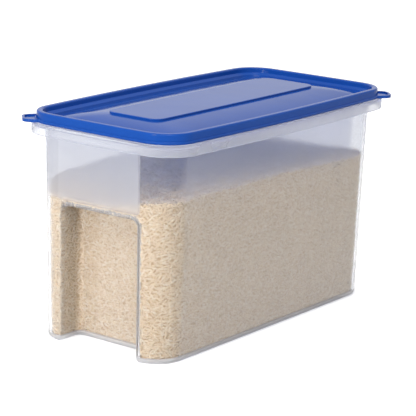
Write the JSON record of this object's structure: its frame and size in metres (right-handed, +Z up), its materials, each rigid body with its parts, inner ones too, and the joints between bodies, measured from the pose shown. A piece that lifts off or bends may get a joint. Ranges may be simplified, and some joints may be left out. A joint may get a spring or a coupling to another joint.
{
  "type": "food storage container",
  "caption": "Tall rectangular dry-food keeper: translucent tapered tub with hand grips let into its ends, rice inside, and a blue press-on seal lid with corner pull tabs.",
  "frame": {"origin": "middle of the tub's base, on the surface that it stands on", "axes": "+X along the length, +Y across, +Z up; the pull tabs are at the -X +Y and +X -Y corners"},
  "size_m": [0.3666, 0.1896, 0.2147],
  "materials": {
    "translucent_polypropylene": "satin",
    "blue_polyethylene": "satin",
    "rice": "matte"
  },
  "bodies": {
    "tub_body": {"tub": "translucent_polypropylene", "rice_fill": "rice"},
    "lid_body": {"lid": "blue_polyethylene"}
  },
  "joints": [
    {"name": "lid_lift", "type": "slide", "parent": "tub_body", "child": "lid_body", "axis": [0, 0, 1], "range_m": [0, 0.2]}
  ]
}
